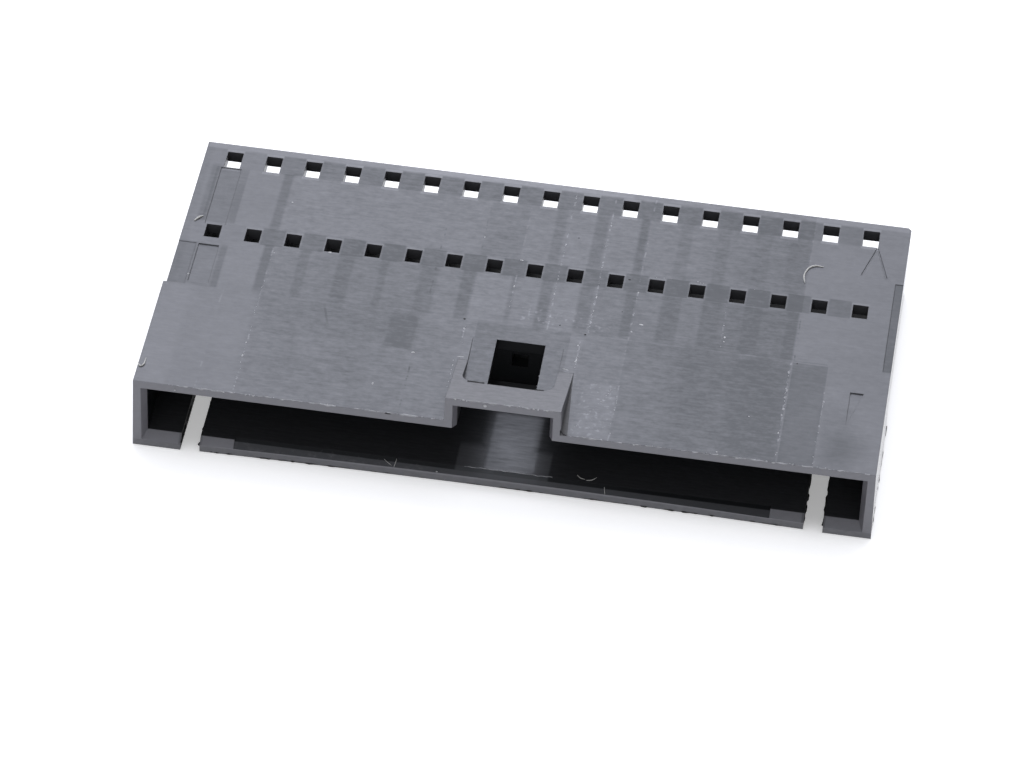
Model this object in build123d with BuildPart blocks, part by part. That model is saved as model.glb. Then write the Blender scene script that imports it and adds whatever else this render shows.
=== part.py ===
from build123d import *
import os

# Empty shell of a single-row wire-to-wire connector, moulded as one piece. It holds crimped pins
# in a row of cavities, and a shroud around the pins takes the mating half.
# Millimetres. X runs along the row of ways, Y from the mouth of the shroud to the wire side, and
# Z up from the face that the shell lies on. The origin is the centre of that face.

# Row of ways
ways = 17
pitch = 2.54

# Outside of the shell
overall_length = 22.86
body_height = 5.27
margin_low = 1.90
margin_high = 2.42
shroud_length = 9.24
shroud_step = 0.20
shroud_flare = 0.10
corner_chamfer = 0.20

# Cavities for the crimped pins, open at the wire side
cavity_width = 1.95
cavity_height = 3.70
cavity_roof = 0.78
cavity_length = 12.70
cavity_entry = 0.15

# Passages for the pins, through the wall between the cavities and the shroud
pin_hole = 1.00
pin_funnel = 0.40

# Windows over each cavity, where the pin's springs catch
front_window_width = 0.95
front_window_length = 1.20
rear_window_width = 1.00
rear_window_length = 1.50
rear_window_inset = 1.49
window_rows_apart = 6.95

# Inside of the shroud, with a lead-in around its mouth
shroud_depth = 8.90
side_wall = 0.75
floor_wall = 0.90
roof_wall = 0.75
mouth_lip = 0.45
roof_lip = 0.55
lead_in = 0.56

# Keying slots in the floor of the shroud
slot_spacing = 38.27
slot_width = 1.18
slot_length = 8.00

# Flap of floor between the slots, with a longer lead-in and a front edge that bows inwards
flap_lead_in = 0.80
flap_lead_in_width = 32.90
flap_end_setback = 0.08
flap_bow = 0.20

# Latch hump: a ramp over the mouth, a channel under it, and a window behind its front bar
hump_width = 7.00
hump_draft = 0.05
hump_rise = 1.85
hump_length = 5.60
hump_wall = 0.70
channel_width = 5.64
bar_depth = 2.57
recess_width = 5.60
recess_length = 7.80
recess_depth = 0.38
recess_radius = 0.90
latch_window_width = 3.00
latch_window_rear = 7.74

# Bare panels sunk over the first way
panel_width = 1.28
panel_gap = 0.06
rear_panel_depth = 0.05
front_panel_depth = 0.08
front_panel_inset = 0.70
front_panel_length = 3.60

# Rebates along the top edges of the body
low_rebate_width = 1.10
low_rebate_length = 3.90
low_rebate_depth = 0.03
high_rebate_width = 0.50
high_rebate_length = 8.15
high_rebate_depth = 0.04

# Marks over the last way: an engraved arrowhead and a three-cornered pocket
arrow_apex_offset = 0.49
arrow_low_offset = 0.27
arrow_high_offset = 1.31
arrow_length = 2.75
arrow_line = 0.10
arrow_depth = 0.06
pocket_offset = 0.16
pocket_width = 0.81
pocket_length = 3.07
pocket_depth = 0.09
pocket_rear = 7.00

# Places that follow from the sizes above
row_span = pitch * (ways - 1)
body_width = margin_low + row_span + margin_high
shroud_width = body_width + shroud_step
high_x = shroud_width / 2
low_x = -high_x
body_low_x = low_x + shroud_step
first_way_x = body_low_x + margin_low
last_way_x = first_way_x + row_span
row_x = (first_way_x + last_way_x) / 2

rear_y = overall_length / 2
mouth_y = -rear_y
step_y = mouth_y + shroud_length
cavity_front_y = rear_y - cavity_length
shroud_back_y = mouth_y + shroud_depth
rear_window_y = rear_y - rear_window_inset
front_window_y = rear_window_y - window_rows_apart

inner_width = shroud_width - 2 * side_wall
inner_height = body_height - floor_wall - roof_wall
inner_mid_z = floor_wall + inner_height / 2
cavity_mid_z = body_height - cavity_roof - cavity_height / 2

bar_rear_y = mouth_y + bar_depth
hump_rear_y = mouth_y + hump_length
hump_top_z = body_height + hump_rise
ramp_fall = hump_rise / hump_length
above_z = hump_top_z + roof_wall

mouth = Plane.XZ.offset(-mouth_y)
wire_side = Plane.XZ.offset(-rear_y)
cavity_front = Plane.XZ.offset(-cavity_front_y)
top = Plane.XY.offset(body_height)


def ceiling(depth):
    """Height of the channel's ceiling at a depth behind the mouth: it runs along under the ramp."""
    return hump_top_z - hump_wall - ramp_fall * depth


# The hump is a wedge that rises to the mouth, with a little draft on its two flanks.
with BuildPart() as hump:
    with BuildSketch(mouth):
        with BuildLine():
            Polyline(
                (-hump_width / 2 - hump_draft, body_height),
                (hump_width / 2 + hump_draft, body_height),
                (hump_width / 2, hump_top_z),
                (-hump_width / 2, hump_top_z),
                close=True,
            )
        make_face()
    extrude(amount=-hump_length)
    with BuildSketch(Plane.YZ):
        with BuildLine():
            Polyline((hump_rear_y, body_height), (mouth_y, body_height), (mouth_y, hump_top_z), close=True)
        make_face()
    extrude(amount=hump_width, both=True, mode=Mode.INTERSECT)

# The recess behind the bar is centred on the ways, not on the hump. Its floor slopes down to the
# bar, and its two corners there are rounded.
with BuildPart() as recess:
    with BuildSketch(Plane.YZ.offset(row_x)):
        with BuildLine():
            Polyline(
                (mouth_y + recess_length, body_height),
                (bar_rear_y, body_height - recess_depth),
                (bar_rear_y, above_z),
                (mouth_y + recess_length, above_z),
                close=True,
            )
        make_face()
    extrude(amount=recess_width / 2, both=True)
    bar_corners = recess.edges().filter_by(Axis.Z).group_by(Axis.Y)[0]
    fillet(bar_corners, radius=recess_radius)

# The pocket over the shroud is three-cornered seen from above. It is deepest along its rear wall and
# rises to the top face at its front corner.
with BuildPart() as pocket:
    pocket_low_x = last_way_x + pocket_offset
    pocket_high_x = pocket_low_x + pocket_width
    pocket_rear_y = mouth_y + pocket_rear
    pocket_front_y = pocket_rear_y - pocket_length
    with BuildSketch(top):
        with BuildLine():
            Polyline(
                (pocket_low_x, pocket_front_y),
                (pocket_low_x, pocket_rear_y),
                (pocket_high_x, pocket_rear_y),
                close=True,
            )
        make_face()
    extrude(amount=pocket_depth, both=True)
    with BuildSketch(Plane.YZ.offset(pocket_low_x)):
        with BuildLine():
            Polyline(
                (pocket_front_y, body_height),
                (pocket_rear_y, body_height - pocket_depth),
                (pocket_rear_y, above_z),
                (pocket_front_y, above_z),
                close=True,
            )
        make_face()
    extrude(amount=pocket_width, mode=Mode.INTERSECT)

with BuildPart() as connector_housing:
    # The body and the shroud are one block. The body's rear corner on the high side is cut off a
    # little. The shroud stands a little proud of the low side, and flares outwards to the bottom.
    with BuildSketch(Plane.XY):
        with Locations(((body_low_x + high_x) / 2, 0)):
            Rectangle(body_width, overall_length)
    extrude(amount=body_height)
    rear_corners = connector_housing.edges().filter_by(Axis.Z).sort_by(Axis.Y)[-2:]
    chamfer(rear_corners.sort_by(Axis.X)[-1], length=corner_chamfer)
    with BuildSketch(mouth):
        with BuildLine():
            Polyline(
                (low_x - shroud_flare, 0),
                (high_x + shroud_flare, 0),
                (high_x, body_height),
                (low_x, body_height),
                close=True,
            )
        make_face()
    extrude(amount=-shroud_length)
    add(hump.part)

    # Rebates along the top edges of the body end at the shroud.
    with BuildSketch(top):
        with Locations((body_low_x, step_y)):
            Rectangle(low_rebate_width, low_rebate_length, align=(Align.MIN, Align.MIN))
    extrude(amount=-low_rebate_depth, mode=Mode.SUBTRACT)
    with BuildSketch(top):
        with Locations((high_x, step_y)):
            Rectangle(high_rebate_width, high_rebate_length, align=(Align.MAX, Align.MIN))
    extrude(amount=-high_rebate_depth, mode=Mode.SUBTRACT)

    # Inside of the shroud, and the lead-in around its mouth
    with BuildSketch(mouth):
        with Locations((0, inner_mid_z)):
            Rectangle(inner_width, inner_height)
    extrude(amount=-shroud_depth, mode=Mode.SUBTRACT)
    with BuildSketch(mouth):
        with Locations((0, mouth_lip)):
            Rectangle(
                shroud_width - 2 * mouth_lip,
                body_height - mouth_lip - roof_lip,
                align=(Align.CENTER, Align.MIN),
            )
    with BuildSketch(mouth.offset(-lead_in)):
        with Locations((0, inner_mid_z)):
            Rectangle(inner_width, inner_height)
    loft(mode=Mode.SUBTRACT)

    # Channel for the latch, from the mouth to the rear of the bar, with the same lead-in
    with BuildSketch(Plane.YZ):
        with BuildLine():
            Polyline(
                (mouth_y, inner_mid_z),
                (mouth_y, ceiling(0)),
                (bar_rear_y, ceiling(bar_depth)),
                (bar_rear_y, inner_mid_z),
                close=True,
            )
        make_face()
    extrude(amount=channel_width / 2, both=True, mode=Mode.SUBTRACT)
    with BuildSketch(mouth):
        with Locations((0, inner_mid_z)):
            Rectangle(
                hump_width - 2 * mouth_lip,
                hump_top_z - roof_lip - inner_mid_z,
                align=(Align.CENTER, Align.MIN),
            )
    with BuildSketch(mouth.offset(-lead_in)):
        with Locations((0, inner_mid_z)):
            Rectangle(channel_width, ceiling(lead_in) - inner_mid_z, align=(Align.CENTER, Align.MIN))
    loft(mode=Mode.SUBTRACT)

    # Recess behind the bar, and the window in it that the mating half's latch springs into
    add(recess.part, mode=Mode.SUBTRACT)
    with BuildSketch(Plane.XY.offset(inner_mid_z)):
        with Locations((0, bar_rear_y)):
            Rectangle(latch_window_width, latch_window_rear - bar_depth, align=(Align.CENTER, Align.MIN))
    extrude(amount=above_z - inner_mid_z, mode=Mode.SUBTRACT)

    # Keying slots, open at the mouth
    with BuildSketch(Plane.XY):
        with Locations((0, mouth_y + slot_length / 2)):
            with GridLocations(slot_spacing, slot_spacing, 2, 1):
                Rectangle(slot_width, slot_length)
    extrude(amount=inner_mid_z, mode=Mode.SUBTRACT)

    # Longer lead-in on the flap between the slots, then its bowed front edge
    with BuildSketch(Plane.YZ):
        with BuildLine():
            Polyline(
                (mouth_y, mouth_lip),
                (mouth_y + flap_lead_in, floor_wall),
                (mouth_y, floor_wall),
                close=True,
            )
        make_face()
    extrude(amount=flap_lead_in_width / 2, both=True, mode=Mode.SUBTRACT)
    flap_x = (slot_spacing - slot_width) / 2
    flap_y = mouth_y + flap_end_setback
    with BuildSketch(Plane.XY):
        with BuildLine():
            ThreePointArc((-flap_x, flap_y), (0, flap_y + flap_bow), (flap_x, flap_y))
            Polyline((flap_x, flap_y), (flap_x, mouth_y), (-flap_x, mouth_y), (-flap_x, flap_y))
        make_face()
    extrude(amount=inner_mid_z, mode=Mode.SUBTRACT)

    # Bare panels over the first way: one between its windows, one in front of them
    rear_panel_front_y = front_window_y + front_window_length / 2 + panel_gap
    rear_panel_rear_y = rear_window_y - rear_window_length / 2 - panel_gap
    front_panel_rear_y = front_window_y - front_window_length / 2 - front_panel_inset
    with BuildSketch(top):
        with Locations((first_way_x, rear_panel_front_y)):
            Rectangle(panel_width, rear_panel_rear_y - rear_panel_front_y, align=(Align.CENTER, Align.MIN))
    extrude(amount=-rear_panel_depth, mode=Mode.SUBTRACT)
    with BuildSketch(top):
        with Locations((first_way_x, front_panel_rear_y)):
            Rectangle(panel_width, front_panel_length, align=(Align.CENTER, Align.MAX))
    extrude(amount=-front_panel_depth, mode=Mode.SUBTRACT)

    # Arrowhead in front of the last way's rear window
    arrow_apex_y = rear_window_y - rear_window_length / 2 - panel_gap
    arrow_foot_y = arrow_apex_y - arrow_length
    with BuildSketch(top):
        with BuildLine():
            Polyline(
                (last_way_x - arrow_low_offset, arrow_foot_y),
                (last_way_x + arrow_apex_offset, arrow_apex_y),
                (last_way_x + arrow_high_offset, arrow_foot_y),
            )
        trace(line_width=arrow_line)
    extrude(amount=-arrow_depth, mode=Mode.SUBTRACT)

    add(pocket.part, mode=Mode.SUBTRACT)

    # One cavity for each way, with a tapered entry at the wire side
    with BuildSketch(wire_side):
        with Locations((row_x, cavity_mid_z)):
            with GridLocations(pitch, pitch, ways, 1):
                Rectangle(cavity_width, cavity_height)
    extrude(amount=cavity_length, mode=Mode.SUBTRACT)
    with BuildSketch(wire_side):
        with Locations((row_x, cavity_mid_z)):
            with GridLocations(pitch, pitch, ways, 1):
                Rectangle(cavity_width + 2 * cavity_entry, cavity_height + 2 * cavity_entry)
    extrude(amount=cavity_entry, taper=45, mode=Mode.SUBTRACT)

    # A square passage with a funnel leads each pin from its cavity into the shroud.
    with BuildSketch(cavity_front):
        with Locations((row_x, inner_mid_z)):
            with GridLocations(pitch, pitch, ways, 1):
                Rectangle(pin_hole, pin_hole)
    extrude(amount=cavity_front_y - shroud_back_y, mode=Mode.SUBTRACT)
    with BuildSketch(cavity_front):
        with Locations((row_x, inner_mid_z)):
            with GridLocations(pitch, pitch, ways, 1):
                Rectangle(pin_hole + 2 * pin_funnel, pin_hole + 2 * pin_funnel)
    extrude(amount=pin_funnel, taper=45, mode=Mode.SUBTRACT)

    # Two windows over each cavity
    with BuildSketch(top):
        with Locations((row_x, front_window_y)):
            with GridLocations(pitch, pitch, ways, 1):
                Rectangle(front_window_width, front_window_length)
        with Locations((row_x, rear_window_y)):
            with GridLocations(pitch, pitch, ways, 1):
                Rectangle(rear_window_width, rear_window_length)
    extrude(amount=cavity_mid_z - body_height, mode=Mode.SUBTRACT)

os.makedirs("parts", exist_ok=True)
connector_housing.part.label = "connector_housing"
export_step(connector_housing.part, "parts/connector_housing.step")
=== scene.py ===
import math

import bpy
import numpy as np
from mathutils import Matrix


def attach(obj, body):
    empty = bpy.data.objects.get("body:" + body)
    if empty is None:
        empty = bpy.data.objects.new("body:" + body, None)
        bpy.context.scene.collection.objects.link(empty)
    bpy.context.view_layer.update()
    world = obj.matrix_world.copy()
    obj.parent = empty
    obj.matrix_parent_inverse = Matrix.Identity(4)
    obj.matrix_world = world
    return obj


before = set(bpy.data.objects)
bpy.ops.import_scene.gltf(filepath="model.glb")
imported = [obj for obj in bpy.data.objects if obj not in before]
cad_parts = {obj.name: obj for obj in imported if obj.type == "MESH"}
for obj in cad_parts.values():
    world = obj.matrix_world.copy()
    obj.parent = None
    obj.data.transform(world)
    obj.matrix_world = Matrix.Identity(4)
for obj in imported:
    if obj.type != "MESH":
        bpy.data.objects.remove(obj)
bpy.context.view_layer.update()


# A long lens looks down on the shell from the mouth's side, a little from the right. The place
# and turn follow from the two rows of windows.
camera_data = bpy.data.cameras.new("camera")
camera_data.sensor_width = 36
camera_data.lens = 180.87
camera_data.clip_start = 0.01
camera_data.clip_end = 20
camera = bpy.data.objects.new("camera", camera_data)
camera.location = (0.027408, -0.235142, 0.216396)
camera.rotation_mode = "QUATERNION"
camera.rotation_quaternion = (0.912676, 0.401364, 0.014952, 0.07553)
bpy.context.scene.collection.objects.link(camera)
bpy.context.scene.camera = camera
bpy.context.scene.view_settings.view_transform = "Standard"


# The shell is one injection moulding in black, glass-filled nylon. Its steel mould was ground along
# the row of ways, and each insert of the mould left its own sheen on the top, set in the gloss and also
# painted into the colour as a painted sheen. The rims of its windows and edges carry painted highlights.
MM = 0.001
FIRST_WAY = -20.48
PITCH = 2.54
TOP = 5.27
MOUTH = -11.43
BODY_HALF = 22.4
LEAD_IN_END = -10.87
CHANNEL_HALF = 3.3
FLAP_HALF = 16.45
SLOT_INNER = 18.4
SLOT_OUTER = 19.85
PLASTIC_DARK = (0.004, 0.005, 0.006)
PLASTIC_PALE = (0.238, 0.231, 0.250)
PLASTIC_SPECULAR = 1.0
PLASTIC_IOR = 1.6
PLASTIC_GRAIN = 0.8
GRIND_WAY = (0.0, 0.8, 0.6)
GRIND_DEPTH = 0.004
EDGE_BEVEL = 0.05
# The tint of reflections in the open, and a dim tint that paints shade into the reflections of the rooms
OPEN_TINT = (0.93, 0.95, 1.0)
SHADE_TINT = (0.12, 0.12, 0.12)
# Where the top and the sides lie between the dark and the pale colour, and what one step in brightness adds.
# The top is painted lighter than the sides, a painted sheen.
TOP_SHARE = 0.33
SIDE_SHARE = 0.19
STEP_SHARE = 0.0135


class Field:
    """A value that a material works out at each point, so that sums are written as on paper."""

    def __init__(self, tree, socket):
        self.tree = tree
        self.socket = socket

    def math(self, operation, *others):
        node = self.tree.nodes.new("ShaderNodeMath")
        node.operation = operation
        for socket, value in zip(node.inputs, (self, *others)):
            plug(self.tree, value, socket)
        return Field(self.tree, node.outputs[0])

    def __add__(self, other):
        return self.math("ADD", other)

    def __radd__(self, other):
        return self.math("ADD", other)

    def __mul__(self, other):
        return self.math("MULTIPLY", other)

    def __rmul__(self, other):
        return self.math("MULTIPLY", other)

    def __sub__(self, other):
        return self.math("SUBTRACT", other)

    def __rsub__(self, other):
        return self.math("MULTIPLY", -1.0).math("ADD", other)

    def ramp(self, low, high, start=0.0, stop=1.0):
        """start below low, stop above high, and a smooth S between them."""
        node = self.tree.nodes.new("ShaderNodeMapRange")
        node.interpolation_type = "SMOOTHSTEP"
        plug(self.tree, self, node.inputs["Value"])
        for name, value in (("From Min", low), ("From Max", high), ("To Min", start), ("To Max", stop)):
            node.inputs[name].default_value = value
        return Field(self.tree, node.outputs["Result"])

    def between(self, low, high, soft):
        """1 from low to high, 0 outside, with soft edges: a ramp on the distance from the middle."""
        half = (high - low) / 2
        away = (self - (low + high) / 2).math("ABSOLUTE")
        return away.ramp(half - soft, half + soft, 1.0, 0.0)


def plug(tree, value, socket):
    """A field is linked to the socket, and a number is set on it."""
    if isinstance(value, Field):
        tree.links.new(value.socket, socket)
    else:
        socket.default_value = value


class Finish:
    """A material, and what its pattern is worked out from: the place in millimetres, and the direction that
    the face looks in."""

    def __init__(self, name):
        self.material = bpy.data.materials.new(name)
        self.material.use_nodes = True
        self.tree = self.material.node_tree
        self.shader = self.tree.nodes["Principled BSDF"]
        coordinates = self.tree.nodes.new("ShaderNodeTexCoord")
        self.place = self.vector("SCALE", coordinates.outputs["Object"], scale=1 / MM)
        self.x, self.y, self.z = self.parts(self.place)
        self.nx, self.ny, self.nz = self.parts(coordinates.outputs["Normal"])

    def vector(self, operation, first, second=None, scale=None):
        node = self.tree.nodes.new("ShaderNodeVectorMath")
        node.operation = operation
        self.tree.links.new(first, node.inputs[0])
        if second is not None:
            node.inputs[1].default_value = second
        if scale is not None:
            node.inputs["Scale"].default_value = scale
        return node.outputs[0]

    def parts(self, socket):
        node = self.tree.nodes.new("ShaderNodeSeparateXYZ")
        self.tree.links.new(socket, node.inputs[0])
        return [Field(self.tree, out) for out in node.outputs]

    def noise(self, stretch, detail=2.0, rough=0.5, seed=0.0):
        """Cloudy noise around 0, from about -1 to 1. stretch is its cells per millimetre along each axis."""
        node = self.tree.nodes.new("ShaderNodeTexNoise")
        node.noise_dimensions = "3D"
        moved = self.vector("ADD", self.place, (seed, seed * 0.7, seed * 1.3))
        self.tree.links.new(self.vector("MULTIPLY", moved, stretch), node.inputs["Vector"])
        node.inputs["Scale"].default_value = 1.0
        node.inputs["Detail"].default_value = detail
        node.inputs["Roughness"].default_value = rough
        return (Field(self.tree, node.outputs[0]) - 0.5) * 3.2

    def box(self, x0, x1, y0, y1, soft):
        """1 inside a rectangle seen from above."""
        return self.x.between(x0, x1, soft) * self.y.between(y0, y1, soft)

    def colour(self, low, high, share):
        """A colour between two, by a share from 0 to 1."""
        node = self.tree.nodes.new("ShaderNodeMix")
        node.data_type = "RGBA"
        plug(self.tree, share, node.inputs[0])
        node.inputs[6].default_value = (*low, 1)
        node.inputs[7].default_value = (*high, 1)
        return Field(self.tree, node.outputs[2])

    def set(self, name, value):
        plug(self.tree, value, self.shader.inputs[name])

    def grain(self, amount, along):
        """Brushed gloss, which spreads along a direction."""
        self.shader.inputs["Anisotropic"].default_value = amount
        node = self.tree.nodes.new("ShaderNodeCombineXYZ")
        for socket, value in zip(node.inputs, along):
            socket.default_value = value
        self.tree.links.new(node.outputs[0], self.shader.inputs["Tangent"])

    def bump(self, height, depth_mm, bevel_mm):
        """A rough surface so deep, with edges that look rounded by a bevel."""
        node = self.tree.nodes.new("ShaderNodeBump")
        node.inputs["Strength"].default_value = 1.0
        node.inputs["Distance"].default_value = depth_mm * MM
        plug(self.tree, height, node.inputs["Height"])
        bevel = self.tree.nodes.new("ShaderNodeBevel")
        bevel.samples = 4
        bevel.inputs["Radius"].default_value = bevel_mm * MM
        self.tree.links.new(bevel.outputs[0], node.inputs["Normal"])
        self.tree.links.new(node.outputs[0], self.shader.inputs["Normal"])


# Zones of the top with their own sheen, painted into the colour as a painted sheen: x0, x1, y0, y1, soft
# edge, and how much lighter or darker than the ground plastic, as a step in brightness out of 255
ZONES = (
    (-22.6, -20.7, -11.5, -2.3, 0.30, 4),
    (-18.8, -16.5, -11.5, -2.3, 0.10, -1),
    (-16.5, -8.4, -11.5, -5.6, 0.50, -6),
    (-16.5, -6.4, -5.6, -2.3, 0.30, -8),
    (-8.4, -6.4, -11.5, -5.6, 0.30, -5),
    (-8.2, -6.5, -5.6, -2.4, 0.20, -7),
    (-6.4, -3.5, -11.5, -2.3, 0.06, -3),
    (3.7, 6.4, -11.5, -2.3, 0.06, -4),
    (4.3, 6.3, -11.2, -6.6, 0.30, 4),
    (6.4, 16.5, -11.5, -2.3, 0.06, -9),
    (9.5, 16.5, -11.5, -2.3, 0.90, -4),
    (13.2, 16.5, -11.5, -2.3, 0.60, -3),
    (16.6, 18.75, -11.5, -2.4, 0.05, -12),
    (18.8, 20.8, -11.5, -5.8, 0.50, -5),
    (19.3, 21.7, -10.8, -8.4, 0.80, -10),
    (-22.4, -21.15, -2.2, 1.8, 0.05, -8),
    (-21.7, -21.2, 3.9, 9.3, 0.15, -10),
    (-22.45, -21.9, -2.2, 11.5, 0.15, -3),
    (-21.4, -19.3, 3.9, 9.2, 0.06, -8),
    (-19.8, -19.3, 3.9, 7.8, 0.12, -3),
    (-3.6, 2.8, -2.25, 2.2, 0.10, 2),
    (-21.1, -19.3, -2.2, 1.8, 0.06, -5),
    (-19.7, -19.25, -2.2, 1.7, 0.10, -8),
    (22.05, 22.6, -2.25, 5.95, 0.04, -16),
    (-16.4, -5.9, -2.25, 2.2, 0.10, -5),
    (-5.9, -3.6, -2.25, 2.2, 0.06, -3),
    (-3.7, -1.2, 3.9, 9.2, 0.10, -4),
    (3.9, 7.9, -2.25, 2.2, 0.10, -6),
    (7.9, 11.7, -2.25, 2.2, 0.10, -8),
    (11.7, 16.5, -2.25, 2.2, 0.10, -12),
    (-22.3, 22.5, 10.95, 11.5, 0.12, 15),
    (-10.0, 5.0, 10.95, 11.5, 0.12, 11),
)

# Darker bands that run forwards from the gaps between the windows: x0, x1, and the step in brightness
BAND_SOFT = 0.13
REAR_BANDS = (
    (-17.05, -16.45, -13), (0.48, 1.15, -8), (2.98, 3.78, -9), (5.8, 6.32, -13),
    (8.3, 9.1, -5), (10.7, 11.5, -5), (13.1, 14.1, -4), (15.2, 16.5, -4),
)
FRONT_BANDS = (
    (-17.05, -16.45, -15), (-14.75, -14.1, -7), (-12.3, -11.3, -7), (-9.65, -9.15, -6),
    (-7.1, -6.0, -5), (-4.5, -3.72, -9), (-1.42, -1.12, -10), (0.45, 1.2, -14),
    (2.9, 3.78, -11), (5.75, 6.36, -9), (8.0, 9.2, -7), (10.5, 11.7, -7),
    (13.1, 14.2, -5), (15.8, 16.5, -5),
)

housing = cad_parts["connector_housing"]
finish = Finish("black_nylon")
x, y, z = finish.x, finish.y, finish.z
upward = finish.nz.ramp(0.60, 0.90)
on_top = z.ramp(4.6, 5.0) * upward
raised = z.ramp(5.29, 5.34)

# Fine drag lines along the row, a mottle, slow clouds, and speckles beside the hump
drag = finish.noise((0.9, 6.0, 6.0), detail=3.0, rough=0.6)
mottle = finish.noise((2.0, 3.2, 3.2), detail=3.0, rough=0.65, seed=11.0)
cloud = finish.noise((0.25, 0.35, 0.35), detail=2.0, seed=23.0)
speckle = finish.noise((3.4, 3.4, 3.4), detail=2.0, seed=53.0).ramp(0.15, 0.75)
middle = x.between(-16.6, 16.6, 0.3)
speckled = finish.box(4.0, 6.3, -11.3, -6.4, 0.4) + finish.box(-0.6, 5.2, -2.0, -0.4, 0.5)

# Darker squares between the windows of each row, the first of them faint
way = (x - (FIRST_WAY + PITCH / 2)) * (1 / PITCH)
from_gap = (way - way.math("ROUND")) * PITCH
squares = from_gap.between(-0.72, 0.72, 0.10) * x.between(-19.9, 19.6, 0.05)
squares = squares * (x.ramp(-18.2, -18.1) * 0.85 + 0.15)
rear_squares = squares * y.between(9.15, 10.85, 0.10)
front_squares = squares * y.between(2.25, 3.85, 0.06)

# Painted highlights along the rims of the windows, pale edges beside the dark openings
from_way = (from_gap.math("ABSOLUTE") - PITCH / 2).math("ABSOLUTE")
in_row = x.between(-21.6, 21.3, 0.05)
rear_rim_highlights = from_way.between(-1.0, 0.56, 0.04) * in_row
rear_rim_highlights = rear_rim_highlights * (y.between(8.95, 9.2, 0.05) + y.between(10.68, 10.92, 0.05) * 1.2)
front_rim_highlights = from_way.between(-1.0, 0.56, 0.04) * in_row * y.between(3.58, 3.74, 0.04)

# The sheen of each place, in steps of brightness, painted into the colour as a painted sheen: the hump's
# top is painted lighter as painted light, and its recess darker. The fields without noise are summed
# before those with noise, because a material that holds too many values at once renders black.
recess = x.between(-2.9, 2.9, 0.05) * y.between(-8.9, -2.2, 0.25) * (1.0 - raised)
sheen = raised * 18.0
for form, lighter in (
    (recess, -7.0),
    (rear_squares, -9.0),
    (front_squares, -14.0),
    (rear_rim_highlights, 15.0),
    (front_rim_highlights, 9.0),
):
    sheen = sheen + form * lighter
sheen = sheen - 3.5 - x.ramp(-20.0, -8.0) * 4.5 + x.ramp(-2.0, 6.0) * 2.5
high_half = x.ramp(0.0, 16.5) * x.between(-1.0, 16.6, 0.05) * y.ramp(2.2, 2.3)
sheen = sheen - high_half * 8.0
for x0, x1, y0, y1, soft, lighter in ZONES:
    sheen = sheen + finish.box(x0, x1, y0, y1, soft) * lighter
tone = (sheen + drag * (3.8 + middle * 3.0) + mottle * (4.6 + middle * 3.8 + raised * 2.0) + cloud * 3.0
        + speckled * speckle * 20.0)
for bands, y0, y1 in ((REAR_BANDS, 3.8, 9.2), (FRONT_BANDS, -2.25, 2.3)):
    across = 0.0
    for x0, x1, lighter in bands:
        across = x.between(x0, x1, BAND_SOFT) * lighter + across
    fade = y.ramp(y0 - 0.4, y0 + 0.6) - y.ramp(y1 - 0.08, y1 + 0.08)
    tone = tone + across * fade * (1.0 + cloud * 0.4)

# Witness lines of the mould's inserts: x, y0, y1 and the step in brightness, each broken into dots
WITNESS_LINES = (
    (-16.47, -11.4, 2.1, 22), (-18.8, -11.4, -2.4, 10), (-6.36, -11.4, -7.0, -20), (-6.2, -1.0, 6.5, -12),
    (-3.62, -5.4, -0.4, 14), (-3.72, 4.0, 9.2, -8), (-1.2, 0.2, 2.4, 24), (-1.2, 3.9, 9.0, 8),
    (1.38, -2.2, 11.2, 24), (3.92, -2.1, 11.2, 26), (3.55, -5.5, -2.9, 24), (6.42, -11.4, 11.2, 18),
    (16.6, 6.8, 11.2, 12), (16.62, -2.2, 1.6, -18), (16.46, -11.4, -2.5, 26), (18.76, -11.4, -4.6, 22),
    (12.0, -2.1, 2.1, 14),
)
wander = finish.noise((0.9, 0.9, 0.9), detail=1.0, seed=31.0) * 0.045
dots = finish.noise((1.0, 2.6, 1.0), detail=2.0, seed=41.0).ramp(-0.05, 0.55)
line_x = x + wander
line_y = y + wander * 3.0
for place, y0, y1, lighter in WITNESS_LINES:
    across = (line_x - place).math("ABSOLUTE")
    tone = tone + (1.0 - across.ramp(0.02, 0.075)) * line_y.between(y0, y1, 0.1) * dots * lighter

# Edges across the row where the shroud's own insert met the body's, and a scratch
step_line = 1.0 - ((y + wander * 0.4) + 2.25).math("ABSOLUTE").ramp(0.02, 0.07)
tone = tone + step_line * (x.between(8.0, 16.3, 0.4) * dots * 7.0 - x.between(16.6, 18.7, 0.05) * 8.0)
from_scratch = ((x + 12.2) - (y + 3.3) * -0.28).math("ABSOLUTE")
scratch = (1.0 - from_scratch.ramp(0.02, 0.12)) * y.between(-4.1, -2.6, 0.4)
tone = tone - scratch * 9.0

# Painted shade: the rooms behind the mouth are painted dark, with dimmed reflections: cavities, shroud,
# channel, window and the walls of the slots. The shroud's floor is painted dark as well, apart from a
# painted pool of light under the window and the hump's channel. The edges around the mouth are painted
# lighter as a painted reflection, the flap's long lead-in is painted darker as painted shade, and the ends
# are glossier.
front_facing = (finish.ny * -1.0).ramp(0.75, 0.95)
rim = 1.0 - y.ramp(-10.90, -10.84)
rooms = z.between(0.10, 4.42, 0.03) * x.between(-BODY_HALF, BODY_HALF, 0.05)
rooms = rooms * y.between(LEAD_IN_END, 11.3, 0.03)
shroud_floor = rooms * upward * (1.0 - y.ramp(-2.7, -2.6))
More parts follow.
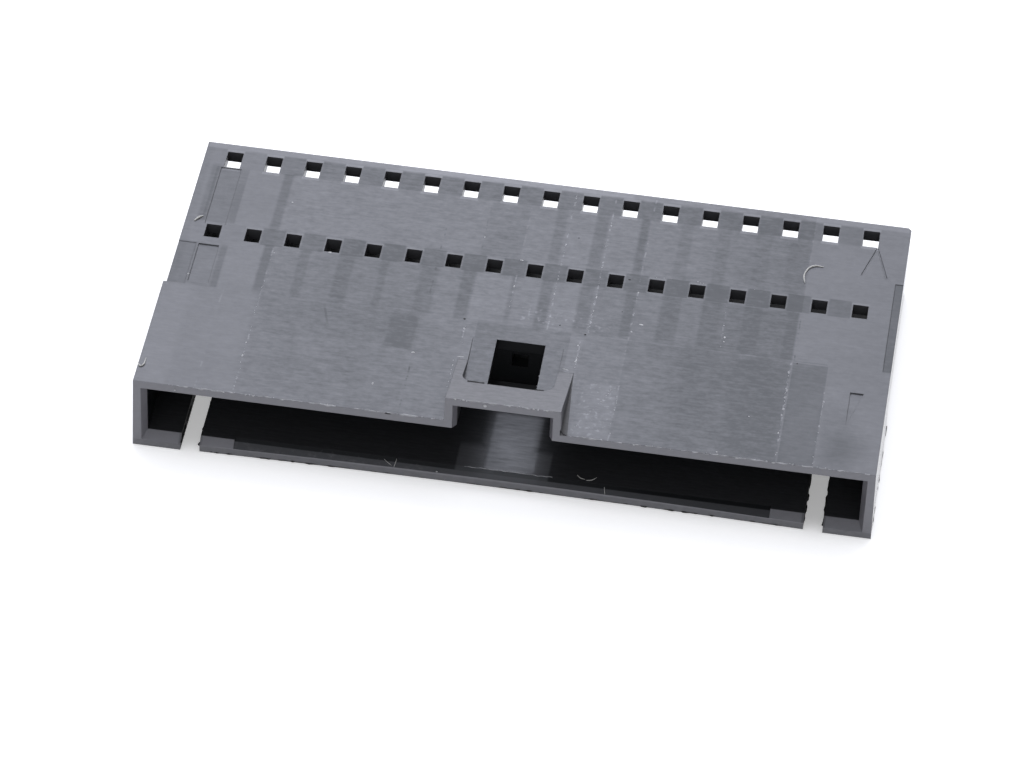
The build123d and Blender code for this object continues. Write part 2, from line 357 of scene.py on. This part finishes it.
# A painted pool of light on the shroud's floor, where light falls through the window and the hump's channel
lit_strip = x.between(-2.85, 2.85, 0.10) * (1.0 - y.ramp(-9.0, -8.2))
lit_strip = lit_strip.math("MAXIMUM", x.between(-1.4, 1.8, 0.4))
under_hump = x.between(-CHANNEL_HALF, CHANNEL_HALF, 0.03) * y.between(LEAD_IN_END, -1.0, 0.05)
under_hump = under_hump * z.between(4.40, 6.95, 0.03) * (1.0 - upward)
slot_walls = x.math("ABSOLUTE").between(SLOT_INNER, SLOT_OUTER, 0.02) * (1.0 - z.ramp(0.86, 0.89))
slot_walls = slot_walls * (1.0 - upward) * (1.0 - front_facing)
# Painted shade: these walls are painted darker, with dimmed reflections
shaded_walls = (rooms - shroud_floor + under_hump + slot_walls).math("MINIMUM", 1.0)
flap = x.between(-FLAP_HALF, FLAP_HALF, 0.02) * z.between(0.3, 0.92, 0.02)
flap = flap * (1.0 - y.ramp(-10.7, -10.6)) * (1.0 - front_facing)
# Where reflections are dimmed as painted shade: the shaded walls, the shroud's floor outside its painted pool
# of light, and the flap, more so towards its high end
painted_shade = shaded_walls + shroud_floor * (1.0 - lit_strip) * 0.70 + flap * x.ramp(0.0, 16.0) * 0.45
smudges = mottle.ramp(-0.1, 1.0) * flap * x.between(-17.0, -4.5, 1.5)
lead_in = rim * (1.0 - front_facing) * (1.0 - on_top) * (1.0 - flap)
lead_in = lead_in * z.between(0.1, 7.1, 0.02) * x.between(-BODY_HALF, BODY_HALF, 0.1)
ends = x.math("ABSOLUTE").ramp(22.38, 22.44) * finish.nx.math("ABSOLUTE").ramp(0.90, 0.98)

# The colour, as a share of the way from dark to pale
tone = tone * on_top
share = TOP_SHARE * on_top + SIDE_SHARE * (1.0 - on_top) + tone * STEP_SHARE
# The front faces at the mouth are painted lighter, a painted reflection of the floor before them, their
# lowest strip less so
low_lip = 1.0 - z.ramp(0.44, 0.48)
share = share + rim * front_facing * (0.45 - low_lip * (0.25 - mottle * 0.06) + mottle * 0.06)
# The lead-in chamfers around the mouth are painted lighter, a painted reflection, most on the sides and
# towards the low end
share = share + lead_in * (0.62 - x.ramp(-20.0, 10.0) * 0.28
                           + finish.nx.math("ABSOLUTE").ramp(0.3, 0.6) * 0.25 + mottle * 0.06)
# Painted shade on the walls, on the shroud's floor outside its painted pool of light, and on the flap; the
# smudges are dirt
share = share - shaded_walls * 0.18 - shroud_floor * (0.14 - lit_strip * 0.06 - drag * 0.06)
share = share - flap * 0.14 + smudges * 0.25
share = share.math("MAXIMUM", 0.0).math("MINIMUM", 1.0)
finish.set("Base Color", finish.colour(PLASTIC_DARK, PLASTIC_PALE, share))

# The gloss: lighter places are smoother, and the ends smoothest
rough = 0.42 - tone * 0.004 + flap * 0.2 + shroud_floor * (0.10 - drag * 0.10)
rough = rough + slot_walls * 0.5 - ends * 0.26
finish.set("Roughness", rough.math("MAXIMUM", 0.12))
finish.set("Specular IOR Level", PLASTIC_SPECULAR)
finish.set("IOR", PLASTIC_IOR)
finish.set("Specular Tint", finish.colour(OPEN_TINT, SHADE_TINT, painted_shade))
finish.grain(PLASTIC_GRAIN, GRIND_WAY)
finish.bump(drag * 0.6 + mottle * 0.6, GRIND_DEPTH, EDGE_BEVEL)
housing.data.materials.clear()
housing.data.materials.append(finish.material)


# Where the hump's flank on the last way's side meets the top, the mould was left with a hollow radius.
# It starts from nothing at the rear and grows to the mouth, and is part of the same moulding.
FILLET_X = 3.53
FILLET_LENGTH = 5.60
FILLET_RADIUS = 0.42
FILLET_SUNK = 0.03


def add_piece(name, vertices, faces, material):
    """A mesh at the origin, from points in millimetres, that rides on the shell and has the material."""
    mesh = bpy.data.meshes.new(name)
    mesh.from_pydata([tuple(v) for v in np.asarray(vertices) * MM], [], [tuple(f) for f in faces])
    mesh.validate()
    mesh.polygons.foreach_set("use_smooth", np.ones(len(mesh.polygons), bool))
    mesh.set_sharp_from_angle(angle=math.radians(50))
    piece = bpy.data.objects.new(name, mesh)
    bpy.context.scene.collection.objects.link(piece)
    mesh.materials.append(material)
    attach(piece, "root")


def tube_faces(rings, sides, first=0):
    """Quads between rings of points, and a fan of triangles at each end onto the two points that come after
    the rings. first is the number of the first point."""
    ring, side = np.meshgrid(np.arange(rings - 1), np.arange(sides), indexing="ij")
    a = first + ring * sides + side
    b = first + ring * sides + (side + 1) % sides
    quads = np.stack([a, b, b + sides, a + sides], -1).reshape(-1, 4)
    turn = np.arange(sides)
    start = first + rings * sides
    stop = start + 1
    last = first + (rings - 1) * sides
    cap_a = np.stack([np.full(sides, start), first + (turn + 1) % sides, first + turn], -1)
    cap_b = np.stack([np.full(sides, stop), last + turn, last + (turn + 1) % sides], -1)
    return quads.tolist() + cap_a.tolist() + cap_b.tolist()


def hollow_fillet():
    """A closed sliver along the flank's foot. Its section is a hollow quarter circle, r (1 - sin t) out from
    the flank and r (1 - cos t) up from the top, closed by a corner that is sunk into both. The radius r grows
    evenly along the foot, from 0 at the rear to the full radius at the mouth."""
    along = np.linspace(0.0, 1.0, 40)[:, None]
    turn = np.linspace(0.0, math.pi / 2, 9)[None, :]
    radius = FILLET_RADIUS * along
    sunk = np.full_like(radius, -FILLET_SUNK)
    out = np.concatenate([radius * (1 - np.sin(turn)), sunk, sunk], 1)
    up = np.concatenate([radius * (1 - np.cos(turn)), radius, sunk], 1)
    y_row = MOUTH + FILLET_LENGTH * (1 - along)
    points = np.stack([FILLET_X + out, np.broadcast_to(y_row, out.shape), TOP + up], -1)[:, ::-1]
    sides = points.shape[1]
    ends = points[[0, -1]].mean(1)
    return np.concatenate([points.reshape(-1, 3), ends]), tube_faces(len(along), sides)


hollow_finish = Finish("hollow_nylon")
grey = hollow_finish.noise((0.9, 6.0, 6.0), detail=3.0, rough=0.6)
hollow_finish.set("Base Color", hollow_finish.colour(PLASTIC_DARK, PLASTIC_PALE, grey * 0.06 + 0.20))
hollow_finish.set("Roughness", 0.45 - grey * 0.03)
add_piece("hump_fillet", *hollow_fillet(), hollow_finish.material)


# The mould's parting edges left burrs of the same nylon: ragged threads along the front edges of the top,
# hump and flap, the last way's lower edge and the slots. Those on the top and the hump are pale burrs that
# also serve as a painted edge highlight, and the pale thread on the flap's ridge is a painted highlight.
# The dark threads behind the bar are a painted shadow at the bar's foot.
BURR_SPACING = 0.06
BURR_WANDER = 0.010


def flecked(name, cells, seed, dark, pale, middle, rough, spread=0.5, rough_spread=0.1):
    """A dull finish: noise with so many cells per millimetre moves the colour around a middle share between
    dark and pale, and the roughness around rough."""
    dull = Finish(name)
    fleck = dull.noise((cells, cells, cells), detail=2.0, seed=seed)
    dull.set("Base Color", dull.colour(dark, pale, fleck * spread + middle))
    dull.set("Roughness", fleck * rough_spread + rough)
    return dull


def wavy(places, step, seed):
    """Smooth random values around 0 along a line: normal numbers at every step, joined by a cosine."""
    knots = np.random.default_rng(seed).normal(size=int(np.ptp(places) / step) + 3)
    at = (places - places.min()) / step
    low = at.astype(int)
    part = (1 - np.cos((at - low) * math.pi)) / 2
    return knots[low] * (1 - part) + knots[low + 1] * part


def thread(path, radii, sides=6):
    """A closed thread. Around each point of the path lies a ring, square to the path, at the point's radius
    times cos t across and sin t above."""
    path = np.asarray(path, float)
    radii = np.asarray(radii, float)[:, None, None]
    ahead = np.gradient(path, axis=0)
    ahead /= np.linalg.norm(ahead, axis=1, keepdims=True)
    helper = np.where(np.abs(ahead[:, 2:3]) > 0.9, [[1.0, 0, 0]], [[0, 0, 1.0]])
    across = np.cross(helper, ahead)
    across /= np.linalg.norm(across, axis=1, keepdims=True)
    above = np.cross(ahead, across)
    turn = np.linspace(0, 2 * math.pi, sides, endpoint=False)[None, :, None]
    rings = path[:, None] + radii * (np.cos(turn) * across[:, None] + np.sin(turn) * above[:, None])
    return np.concatenate([rings.reshape(-1, 3), path[[0, -1]]]), tube_faces(len(path), sides)


def burr(name, start, stop, thick, ragged, seed, material, bow=0.0):
    """A thread between two points, bowed back by a parabola. Its radius and its height wander, and it thins
    to nearly nothing in places."""
    length = np.linalg.norm(np.subtract(stop, start))
    along = np.linspace(0, length, int(length / BURR_SPACING))
    share = (along / length)[:, None]
    path = np.asarray(start) * (1 - share) + np.asarray(stop) * share
    path[:, 1] += BURR_WANDER * wavy(along, 0.25, seed + 1) + bow * 4 * share[:, 0] * (1 - share[:, 0])
    path[:, 2] += BURR_WANDER * wavy(along, 0.25, seed + 2)
    radii = thick * np.clip(0.6 + ragged * wavy(along, 0.35, seed), 0.10, 1.8)
    add_piece(name, *thread(path, radii), material)


burr_finish = flecked("pale_flash_and_highlight", 3.0, 61.0, (0.18, 0.18, 0.19), (0.62, 0.62, 0.64), 0.5, 0.6, spread=0.6)
burr_finish.set("Specular IOR Level", 0.4)
dark_thread_finish = flecked("dark_flash_and_shade", 3.0, 66.0, (0.004, 0.004, 0.005), (0.05, 0.05, 0.05), 0.3, 0.6)
pale_threads_and_highlight = burr_finish.material
dark_threads_and_shade = dark_thread_finish.material
# Pale threads on the front edges of the top and the hump are pale burrs and a painted edge highlight; the one
# on the flap's ridge is a painted highlight
burr("top_edge_burr_and_highlight_low", (-20.4, -11.41, 5.262), (-3.6, -11.41, 5.262), 0.036, 0.50, 101, pale_threads_and_highlight)
burr("top_edge_burr_and_highlight_high", (3.6, -11.41, 5.262), (22.2, -11.41, 5.262), 0.034, 0.45, 111, pale_threads_and_highlight)
burr("hump_edge_burr_and_highlight", (-3.4, -11.41, 7.10), (3.4, -11.41, 7.10), 0.038, 0.50, 121, pale_threads_and_highlight)
burr("flap_ridge_highlight", (-2.3, -10.63, 0.930), (3.1, -10.63, 0.930), 0.028, 0.10, 131, pale_threads_and_highlight)
burr("flap_front_burr", (-18.5, -11.33, 0.045), (18.5, -11.33, 0.045), 0.040, 0.70, 151, dark_threads_and_shade, bow=0.20)
burr("high_end_burr", (22.66, -1.4, 0.05), (22.66, -11.2, 0.05), 0.028, 0.70, 161, dark_threads_and_shade)
# Two dark strips behind the bar's rear edge are a painted shadow in the gap at the bar's foot
burr("bar_shadow_strip_low", (-2.55, -8.80, 6.25), (-1.52, -8.80, 6.25), 0.090, 0.10, 171, dark_threads_and_shade)
burr("bar_shadow_strip_high", (1.52, -8.80, 6.25), (2.10, -8.80, 6.25), 0.070, 0.10, 181, dark_threads_and_shade)
for edge, seed in ((-19.70, 191), (-18.57, 201), (18.57, 211), (19.70, 221)):
    burr(f"slot_burr_{seed}", (edge, -11.25, 0.45), (edge, -3.6, 0.45), 0.065, 0.60, seed, dark_threads_and_shade)


# Crumbs of flash: pale flakes stuck to the top and its front edge, grey crumbs along the witness lines, and
# a few black ones. Each is a flat lump of nylon, and most are under a third of a millimetre long.
# The flakes stand out one by one: x, y, z, length along the row, along the depth, and height
PALE_FLAKES = (
    (-21.2, -1.25, TOP, 0.14, 0.11, 0.05), (-6.35, -5.80, TOP, 0.26, 0.13, 0.07),
    (-16.5, -6.8, TOP, 0.10, 0.12, 0.05), (-16.5, -8.0, TOP, 0.11, 0.22, 0.07),
    (-8.3, -9.0, TOP, 0.11, 0.24, 0.07), (7.0, -0.7, TOP, 0.30, 0.12, 0.03),
    (12.2, -0.9, TOP, 0.12, 0.18, 0.04), (12.2, -1.3, TOP, 0.08, 0.10, 0.04),
    (1.35, 1.1, TOP, 0.10, 0.14, 0.04), (3.95, 1.3, TOP, 0.09, 0.24, 0.04),
    (3.95, 0.0, TOP, 0.08, 0.12, 0.04), (14.5, -7.7, TOP, 0.11, 0.08, 0.04),
    (12.95, -11.15, TOP, 0.12, 0.08, 0.05), (16.4, -8.8, TOP, 0.08, 0.16, 0.04),
    (-12.95, 2.35, TOP, 0.24, 0.12, 0.06), (-3.45, -5.65, TOP, 0.50, 0.08, 0.05),
    (3.0, -5.60, TOP, 0.45, 0.07, 0.05), (-3.8, -6.5, TOP, 0.08, 0.16, 0.05),
    (-3.8, -7.3, TOP, 0.07, 0.12, 0.05), (3.52, -4.7, TOP, 0.09, 0.34, 0.05),
    (3.45, -3.3, TOP, 0.08, 0.14, 0.04), (-1.2, 1.35, TOP, 0.08, 0.24, 0.04),
    (-1.1, 3.85, TOP, 0.24, 0.10, 0.05), (-16.1, 6.6, TOP, 0.12, 0.08, 0.04),
    (-3.7, 5.6, TOP, 0.08, 0.12, 0.04), (6.45, 2.2, TOP, 0.10, 0.14, 0.04),
    (-20.0, MOUTH, 4.90, 0.12, 0.06, 0.12), (-1.09, MOUTH, 6.86, 0.24, 0.08, 0.22),
    (0.4, MOUTH, 7.08, 0.14, 0.06, 0.08), (-2.2, MOUTH, 7.08, 0.10, 0.06, 0.08),
    (-2.9, MOUTH, 7.10, 0.14, 0.06, 0.07), (-2.4, MOUTH, 7.11, 0.20, 0.06, 0.06),
    (1.85, MOUTH, 7.10, 0.16, 0.06, 0.06), (2.65, MOUTH, 7.10, 0.20, 0.06, 0.06),
    (-17.0, MOUTH, 5.25, 0.16, 0.06, 0.05), (-15.2, MOUTH, 5.25, 0.16, 0.06, 0.05),
    (-13.4, MOUTH, 5.25, 0.18, 0.06, 0.05), (8.0, MOUTH, 5.24, 0.20, 0.06, 0.05),
    (14.2, MOUTH, 5.24, 0.30, 0.06, 0.05), (16.4, MOUTH, 5.24, 0.24, 0.08, 0.07),
    (-3.92, -11.12, 0.64, 0.12, 0.06, 0.10),
)
BLACK_FLAKES = (
    (3.75, -2.25, TOP, 0.16, 0.14, 0.05), (-3.75, -2.2, TOP, 0.16, 0.16, 0.05),
    (5.75, 3.3, TOP, 0.18, 0.12, 0.05), (2.1, 6.6, TOP, 0.12, 0.08, 0.03),
    (2.1, -1.7, TOP, 0.10, 0.14, 0.03), (5.7, 0.25, TOP, 0.08, 0.08, 0.03),
    (16.85, -2.45, TOP, 0.10, 0.12, 0.04), (-7.0, MOUTH, 5.24, 0.55, 0.10, 0.10),
    (-17.78, -11.30, 0.06, 0.30, 0.12, 0.10), (-12.78, -11.26, 0.06, 0.30, 0.12, 0.10),
)
# Witness lines and edges that carry crumbs: x0, y0, x1, y1, z and how many
CRUMB_LINES = (
    (-16.47, -11.3, -16.47, -2.4, TOP, 26), (-16.47, -2.2, -16.4, 2.0, TOP, 6),
    (-3.62, -5.4, -3.6, -2.6, TOP, 8), (-3.8, -8.6, -3.8, -5.8, TOP, 8),
    (1.38, -2.2, 1.38, 4.0, TOP, 20), (1.38, 4.0, 1.42, 11.0, TOP, 16),
    (3.92, -2.1, 3.92, 3.9, TOP, 24), (3.92, 3.9, 3.92, 8.4, TOP, 10),
    (3.55, -5.5, 3.5, -2.9, TOP, 18), (6.42, -2.0, 6.42, 2.4, TOP, 10),
    (6.42, -11.0, 6.42, -6.2, TOP, 8), (16.46, -11.3, 16.46, -2.6, TOP, 30),
    (18.76, -11.2, 18.76, -4.8, TOP, 16), (-1.2, -0.6, -1.2, 2.3, TOP, 8),
    (12.05, -2.0, 12.0, 1.6, TOP, 6), (-20.3, -11.40, -3.7, -11.40, TOP, 36),
    (3.7, -11.40, 22.3, -11.40, TOP, 40), (-3.3, MOUTH, 3.3, MOUTH, 7.10, 30),
    (1.5, -7.7, 1.5, -4.0, 5.02, 6), (4.2, -10.8, 6.2, -6.6, TOP, 24),
    (6.6, 3.85, 15.0, 3.85, TOP, 8),
)
rng = np.random.default_rng(7)


def lumps(centres, sizes, turns):
    """Closed lumps on a grid of 6 by 3 points with two poles: latitude times longitude, stretched to each
    size, turned about Z, and moved to its centre."""
    sides = 6
    rings = 3
    lat = np.linspace(-math.pi / 2, math.pi / 2, rings + 2)[1:-1]
    lon = np.linspace(0, 2 * math.pi, sides, endpoint=False)
    lat, lon = np.meshgrid(lat, lon, indexing="ij")
    ball = np.stack([np.cos(lat) * np.cos(lon), np.cos(lat) * np.sin(lon), np.sin(lat)], -1).reshape(-1, 3)
    ball = np.concatenate([ball, [[0, 0, -1], [0, 0, 1]]])
    stretched = ball[None] * np.asarray(sizes)[:, None] / 2
    cos, sin = np.cos(turns)[:, None], np.sin(turns)[:, None]
    turned = np.stack([stretched[..., 0] * cos - stretched[..., 1] * sin,
                       stretched[..., 0] * sin + stretched[..., 1] * cos, stretched[..., 2]], -1)
    points = turned + np.asarray(centres)[:, None]
    faces = []
    for lump in range(len(points)):
        faces += tube_faces(rings, sides, lump * len(ball))
    return points.reshape(-1, 3), faces


def flakes(name, table, material):
    """The flakes of a table, each turned a little at random."""
    rows = np.array(table)
    add_piece(name, *lumps(rows[:, :3], rows[:, 3:], rng.normal(0, 0.15, len(rows))), material)


def crumbs(name, lines, material):
    """Chance crumbs scattered along lines: more small ones than large ones."""
    centres, sizes, turns = [], [], []
    for x0, y0, x1, y1, height, count in lines:
        share = rng.random(count)[:, None]
        spread = rng.normal(0, 0.035, (count, 2))
        at = np.array([[x0, y0]]) * (1 - share) + np.array([[x1, y1]]) * share + spread
        at[:, 1] = np.maximum(at[:, 1], MOUTH)
        small = 0.022 + 0.030 * rng.gamma(1.4, 0.6, count)
        long = small * rng.uniform(0.8, 1.3, count)
        deep = small * rng.uniform(0.8, 2.2, count)
        centres += [(a, b, height) for a, b in at]
        sizes += list(np.stack([long, deep, small * 0.5], -1))
        turns += list(rng.uniform(-0.6, 0.6, count))
    add_piece(name, *lumps(centres, sizes, np.asarray(turns)), material)


flake_finish = flecked("pale_flakes", 5.0, 71.0, (0.38, 0.38, 0.39), (0.80, 0.80, 0.80), 0.5, 0.6)
soot_finish = flecked("black_flakes", 5.0, 81.0, (0.004, 0.004, 0.005), (0.02, 0.02, 0.02), 0.5, 0.7)
flakes("pale_flakes", PALE_FLAKES, flake_finish.material)
flakes("black_flakes", BLACK_FLAKES, soot_finish.material)
crumbs("grey_crumbs", CRUMB_LINES, pale_threads_and_highlight)


# Lint: short pale fibres that lie where they fell, on the top, on the flap and over the top's low edge.
# Each is a thread of dust, about a tenth of a millimetre thick at most, that follows what it lies on.
FIBRE_POINTS = 40
FIBRE_TIP = 0.12
FIBRES = (
    ("lint_arc", 0.055, (
        (16.50, 5.0, 5.31), (16.38, 5.7, 5.32), (16.60, 6.4, 5.33), (17.0, 6.7, 5.33), (17.5, 6.7, 5.31),
    )),
    ("lint_sliver", 0.065, ((-21.80, 3.70, 5.30), (-21.60, 3.98, 5.35), (-21.35, 4.28, 5.30))),
    ("lint_curl", 0.045, (
        (-22.60, -9.80, 5.31), (-22.41, -10.12, 5.33), (-22.21, -9.90, 5.34), (-22.20, -9.35, 5.32),
    )),
    ("lint_hook_low", 0.026, ((4.54, -10.13, 0.93), (4.78, -10.36, 0.94), (5.08, -10.44, 0.93))),
    ("lint_hook_high", 0.026, ((5.15, -10.50, 0.93), (5.50, -10.42, 0.94), (5.77, -10.13, 0.93))),
    ("lint_tick_high", 0.022, ((6.31, -10.78, 0.84), (6.36, -11.0, 0.73), (6.41, -11.18, 0.61))),
    ("lint_tick_middle", 0.018, ((-7.22, -10.80, 0.83), (-6.95, -10.98, 0.74), (-6.70, -11.10, 0.66))),
    ("lint_tick_low", 0.020, ((-6.45, -10.70, 0.89), (-6.50, -10.95, 0.74), (-6.55, -11.19, 0.61))),
)


def curve_through(points, count):
    """A smooth path through a few points. Each span is a Hermite cubic, and the slope at a point is half the
    way between its neighbours."""
    points = np.asarray(points, float)
    slopes = np.gradient(points, axis=0)
    at = np.linspace(0, len(points) - 1, count)
    low = np.minimum(at.astype(int), len(points) - 2)
    t = (at - low)[:, None]
    start, start_slope = 2 * t**3 - 3 * t**2 + 1, t**3 - 2 * t**2 + t
    stop, stop_slope = -2 * t**3 + 3 * t**2, t**3 - t**2
    return (start * points[low] + start_slope * slopes[low]
            + stop * points[low + 1] + stop_slope * slopes[low + 1])


lint_finish = flecked("pale_lint", 6.0, 91.0, (0.50, 0.49, 0.47), (0.82, 0.81, 0.77), 0.5, 0.8,
                      rough_spread=0.05)
for name, radius, points in FIBRES:
    path = curve_through(points, FIBRE_POINTS)
    end_taper = np.sin(np.linspace(FIBRE_TIP, math.pi - FIBRE_TIP, FIBRE_POINTS)) ** 0.5
    radii = radius * end_taper * (1 + 0.12 * wavy(np.arange(float(FIBRE_POINTS)), 4.0, 141))
    add_piece(name, *thread(path, radii, sides=8), lint_finish.material)


# A white sheet lies just under the shell, and glows a little where the camera or a reflection sees it, less
# so under the shell, where the lower glow is a painted shadow, darker towards the high end. From below it
# is clear, so that the shell's own underside shows.
SHEET_HALF = 3.0
SHEET_Z = -0.05 * MM
SHEET_GLOW = 0.58
SHEET_COLOUR = (0.90, 0.90, 0.91, 1)
corners = [(-SHEET_HALF, -SHEET_HALF, SHEET_Z), (SHEET_HALF, -SHEET_HALF, SHEET_Z),
           (SHEET_HALF, SHEET_HALF, SHEET_Z), (-SHEET_HALF, SHEET_HALF, SHEET_Z)]
floor_mesh = bpy.data.meshes.new("floor")
floor_mesh.from_pydata(corners, [], [(0, 1, 2, 3)])
floor = bpy.data.objects.new("floor", floor_mesh)
bpy.context.scene.collection.objects.link(floor)
paper = Finish("white_sheet")
paper.set("Base Color", SHEET_COLOUR)
paper.set("Roughness", 0.9)


def rays(tree):
    """Two fields: 1 for a ray from the camera itself, and 1 for one that met gloss or something clear."""
    path = tree.nodes.new("ShaderNodeLightPath")
    camera_ray = Field(tree, path.outputs["Is Camera Ray"])
    glossy_ray = Field(tree, path.outputs["Is Glossy Ray"])
    clear_ray = Field(tree, path.outputs["Is Transmission Ray"])
    return camera_ray, glossy_ray + clear_ray


sheet_tree = paper.tree
glow = sheet_tree.nodes.new("ShaderNodeEmission")
both = sheet_tree.nodes.new("ShaderNodeAddShader")
camera_ray, other_ray = rays(sheet_tree)
seen_ray = (camera_ray + other_ray).math("MINIMUM", 1.0)
# A painted shadow: the glow is lowered under the shell, more towards the high end
under_shell = paper.x.between(-22.5, 22.5, 0.5) * paper.y.between(-11.2, 11.2, 1.2)
shade = under_shell * (0.20 + paper.x.ramp(-20.0, 20.0) * 0.06)
plug(sheet_tree, seen_ray * (SHEET_GLOW - shade), glow.inputs["Strength"])
side = sheet_tree.nodes.new("ShaderNodeNewGeometry")
clear = sheet_tree.nodes.new("ShaderNodeBsdfTransparent")
from_above = sheet_tree.nodes.new("ShaderNodeMixShader")
sheet_tree.links.new(paper.shader.outputs[0], both.inputs[0])
sheet_tree.links.new(glow.outputs[0], both.inputs[1])
sheet_tree.links.new(side.outputs["Backfacing"], from_above.inputs[0])
sheet_tree.links.new(both.outputs[0], from_above.inputs[1])
sheet_tree.links.new(clear.outputs[0], from_above.inputs[2])
sheet_tree.links.new(from_above.outputs[0], sheet_tree.nodes["Material Output"].inputs["Surface"])
floor_mesh.materials.append(paper.material)


# The room is a tent of white cloth: the camera sees it white, and it lights the shell with a plain grey.
# Gloss sees it bright behind the shell, dimmer on the camera's side, and dark overhead and at the ends.
ROOM_GREY = 0.35
ROOM_COLOUR = (0.96, 0.97, 1.0, 1)
world = bpy.data.worlds.new("room")
world.use_nodes = True
bpy.context.scene.world = world
room_tree = world.node_tree
background = room_tree.nodes["Background"]
background.inputs["Color"].default_value = ROOM_COLOUR
way_out = room_tree.nodes.new("ShaderNodeTexCoord")
split = room_tree.nodes.new("ShaderNodeSeparateXYZ")
room_tree.links.new(way_out.outputs["Generated"], split.inputs[0])
camera_ray, other_ray = rays(room_tree)
mirror_ray = other_ray.math("MINIMUM", 1.0)
depth_way = Field(room_tree, split.outputs["Y"])
tent = depth_way.ramp(0.10, 0.75) * 0.85 + (depth_way * -1.0).ramp(0.30, 0.60) * 0.45
strength = camera_ray * (1 - ROOM_GREY) + mirror_ray * (tent - 0.10) + ROOM_GREY
plug(room_tree, strength, background.inputs["Strength"])


# One wide soft box hangs behind and above the shell, with a small lamp in front of its middle. Each is a
# rectangle of its own size in metres.
def soft_box(name, elevation, azimuth, distance, size, radiance, colour):
    """A lamp that faces the shell from so many degrees up and round, and metres away. Its power is its
    radiance times its area times pi."""
    lamp = bpy.data.lights.new(name, "AREA")
    lamp.shape = "RECTANGLE"
    lamp.size, lamp.size_y = size
    lamp.color = colour
    lamp.energy = radiance * math.pi * size[0] * size[1]
    up, round_ = math.radians(elevation), math.radians(azimuth)
    holder = bpy.data.objects.new(name, lamp)
    place = np.array([-math.sin(round_) * math.cos(up), math.cos(round_) * math.cos(up), math.sin(up)])
    holder.location = place * distance
    holder.rotation_euler = (math.radians(90) - up, 0, math.radians(180) + round_)
    bpy.context.scene.collection.objects.link(holder)


soft_box("soft_box", 67, 7, 0.6, (0.78, 0.78), 1.5, (0.87, 0.90, 1.0))
soft_box("small_lamp", 67, 15, 0.55, (0.03, 0.03), 110, (0.90, 0.92, 1.0))
